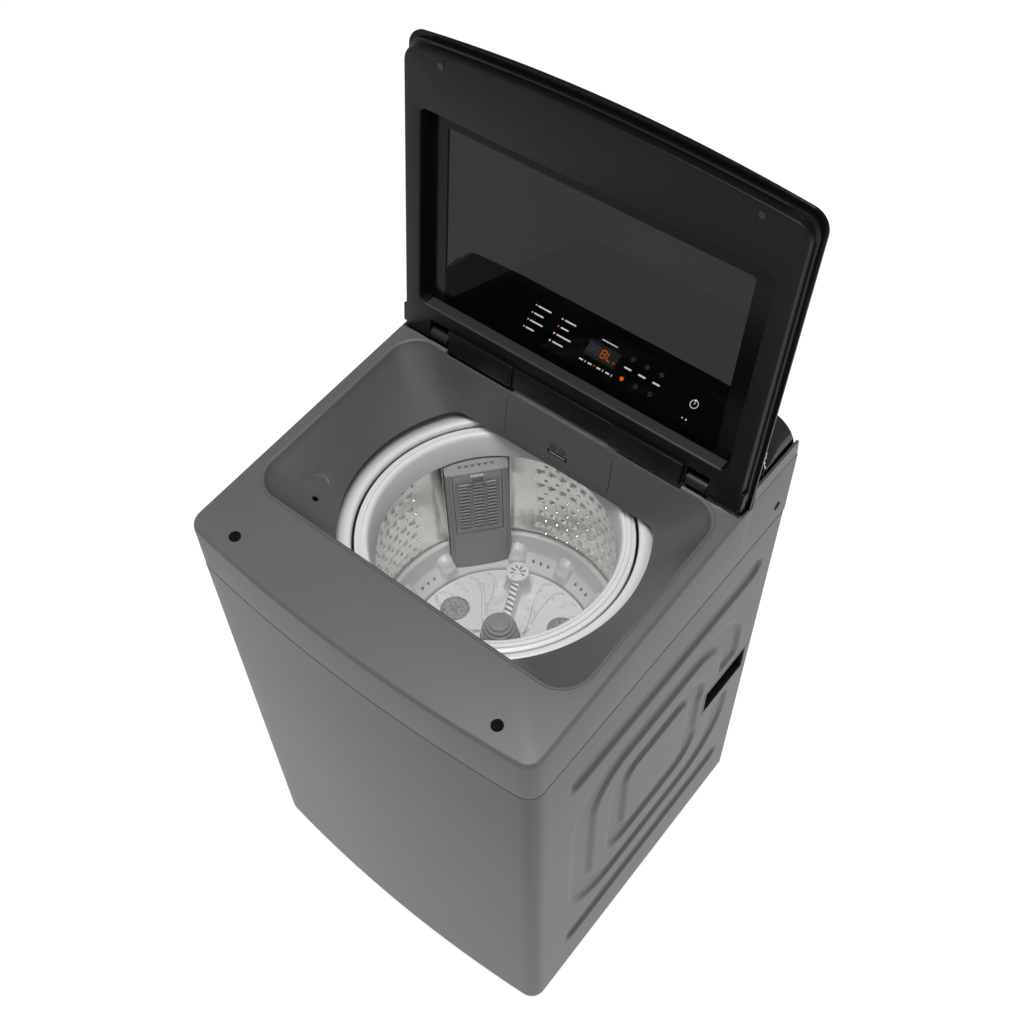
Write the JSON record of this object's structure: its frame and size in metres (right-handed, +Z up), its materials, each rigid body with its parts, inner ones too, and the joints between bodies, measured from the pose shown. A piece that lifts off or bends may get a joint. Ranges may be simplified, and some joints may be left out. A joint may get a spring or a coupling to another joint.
{
  "type": "top load washing machine",
  "caption": "Top load washing machine with a hinged glass lid, sloped console, drawer, hung tub, spinning drum, pulsator and lint filter.",
  "frame": {"origin": "on the floor under the middle of the body, on the drum's axis", "axes": "+Z up, -Y towards the front that the user stands at, +X to the user's right"},
  "size_m": [0.5924, 0.6088, 1.3859],
  "materials": {
    "painted_steel": "satin silver grey enamel",
    "zinc_steel": "zinc plated sheet",
    "stainless": "polished stainless sheet",
    "machined_steel": "ground",
    "cover_plastic": "fine satin silver grey",
    "dark_plastic": "fine satin",
    "black_plastic": "satin",
    "gloss_black": "gloss",
    "white_plastic": "satin",
    "grey_plastic": "satin",
    "tinted_glass": "printed border, smoked centre",
    "rubber_black": "matt",
    "cast_aluminium": "as cast",
    "board_green": "lacquered",
    "spring_steel": "oiled",
    "motor_steel": "black enamel"
  },
  "bodies": {
    "cabinet": {"cabinet_wrap": "painted_steel", "rear_panel": "zinc_steel", "rear_panel_screws": "zinc_steel", "base_frame": "black_plastic", "fixed_foot_pads": "rubber_black", "levelling_nut": "zinc_steel", "side_handle_cups": "black_plastic", "corner_brackets": "zinc_steel", "suspension_rods": "zinc_steel", "rod_top_caps": "white_plastic", "spring_cups": "white_plastic", "suspension_springs": "spring_steel", "top_cover": "cover_plastic", "lid_buffers": "rubber_black", "side_plugs": "black_plastic", "drawer_housing": "white_plastic", "hinge_brackets": "black_plastic", "hinge_pins": "zinc_steel", "console_base": "cover_plastic", "console_housing": "gloss_black", "console_touch_panel": "gloss_black", "display_module": "gloss_black", "control_board": "board_green", "inlet_valve": "white_plastic", "fill_pipe": "white_plastic", "drain_spigot": "black_plastic", "drain_hose": "black_plastic", "level_sensor": "white_plastic", "level_tube": "rubber_black", "cord_gland": "black_plastic"},
    "lid": {"lid_inner_cover": "dark_plastic", "lid_outer_frame": "black_plastic", "lid_glass": "tinted_glass", "lid_screw_caps": "black_plastic"},
    "drawer": {"detergent_drawer": "cover_plastic"},
    "foot": {"levelling_foot": "black_plastic"},
    "tub": {"outer_tub": "white_plastic", "tub_cover_ring": "white_plastic", "drive_plate": "zinc_steel", "gearbox_case": "cast_aluminium", "spin_bearings": "machined_steel", "tub_shaft_seal": "rubber_black", "motor": "motor_steel", "drain_valve": "black_plastic", "drive_belt": "rubber_black"},
    "drum": {"drum_wall": "stainless", "balance_ring": "white_plastic", "drum_base": "white_plastic", "drum_hub_and_spin_tube": "cast_aluminium", "lint_filter_housing": "dark_plastic"},
    "filter_door": {"lint_filter_door": "dark_plastic"},
    "agitator": {"pulsator": "white_plastic", "pulsator_mesh_insets": "grey_plastic", "pulsator_cap": "grey_plastic", "pulsator_shaft": "machined_steel", "pulsator_screw": "zinc_steel"},
    "input_drive": {"gearbox_pulley": "black_plastic", "gearbox_input_shaft": "machined_steel"},
    "motor_rotor": {"motor_shaft": "machined_steel", "motor_pulley": "black_plastic"}
  },
  "joints": [
    {"name": "lid_hinge", "type": "hinge", "parent": "cabinet", "child": "lid", "pos_m": [0, 0.157, 0.9352], "axis": [1, 0, 0], "range_deg": [0, 101]},
    {"name": "drawer_slide", "type": "slide", "parent": "cabinet", "child": "drawer", "axis": [0, -1, 0], "range_m": [0, 0.11]},
    {"name": "levelling_foot_screw", "type": "slide", "parent": "cabinet", "child": "foot", "axis": [0, 0, 1], "range_m": [-0.006, 0.004]},
    {"name": "tub_bounce", "type": "slide", "parent": "cabinet", "child": "tub", "axis": [0, 0, 1], "range_m": [-0.015, 0.005], "stiffness_N_per_m": 18000, "springref_m": 0.01635, "deforming": ["suspension_springs", "drain_hose", "level_tube"]},
    {"name": "drum_spin", "type": "hinge", "parent": "tub", "child": "drum", "pos_m": [0, 0, 0.55], "axis": [0, 0, 1], "continuous": true},
    {"name": "agitator_spin", "type": "hinge", "parent": "tub", "child": "agitator", "pos_m": [0, 0, 0.5], "axis": [0, 0, 1], "continuous": true},
    {"name": "input_pulley_spin", "type": "hinge", "parent": "tub", "child": "input_drive", "pos_m": [0, 0, 0.309], "axis": [0, 0, 1], "continuous": true},
    {"name": "motor_spin", "type": "hinge", "parent": "tub", "child": "motor_rotor", "pos_m": [-0.152, 0, 0.309], "axis": [0, 0, 1], "continuous": true},
    {"name": "filter_door_tilt", "type": "hinge", "parent": "drum", "child": "filter_door", "pos_m": [-0.12295, 0.10317, 0.6025], "axis": [0.6428, 0.766, 0], "range_deg": [0, 60]}
  ],
  "couplings": [
    {"joint": "input_pulley_spin", "follows": "agitator_spin", "ratio": 5.4},
    {"joint": "motor_spin", "follows": "agitator_spin", "ratio": 18.313}
  ]
}
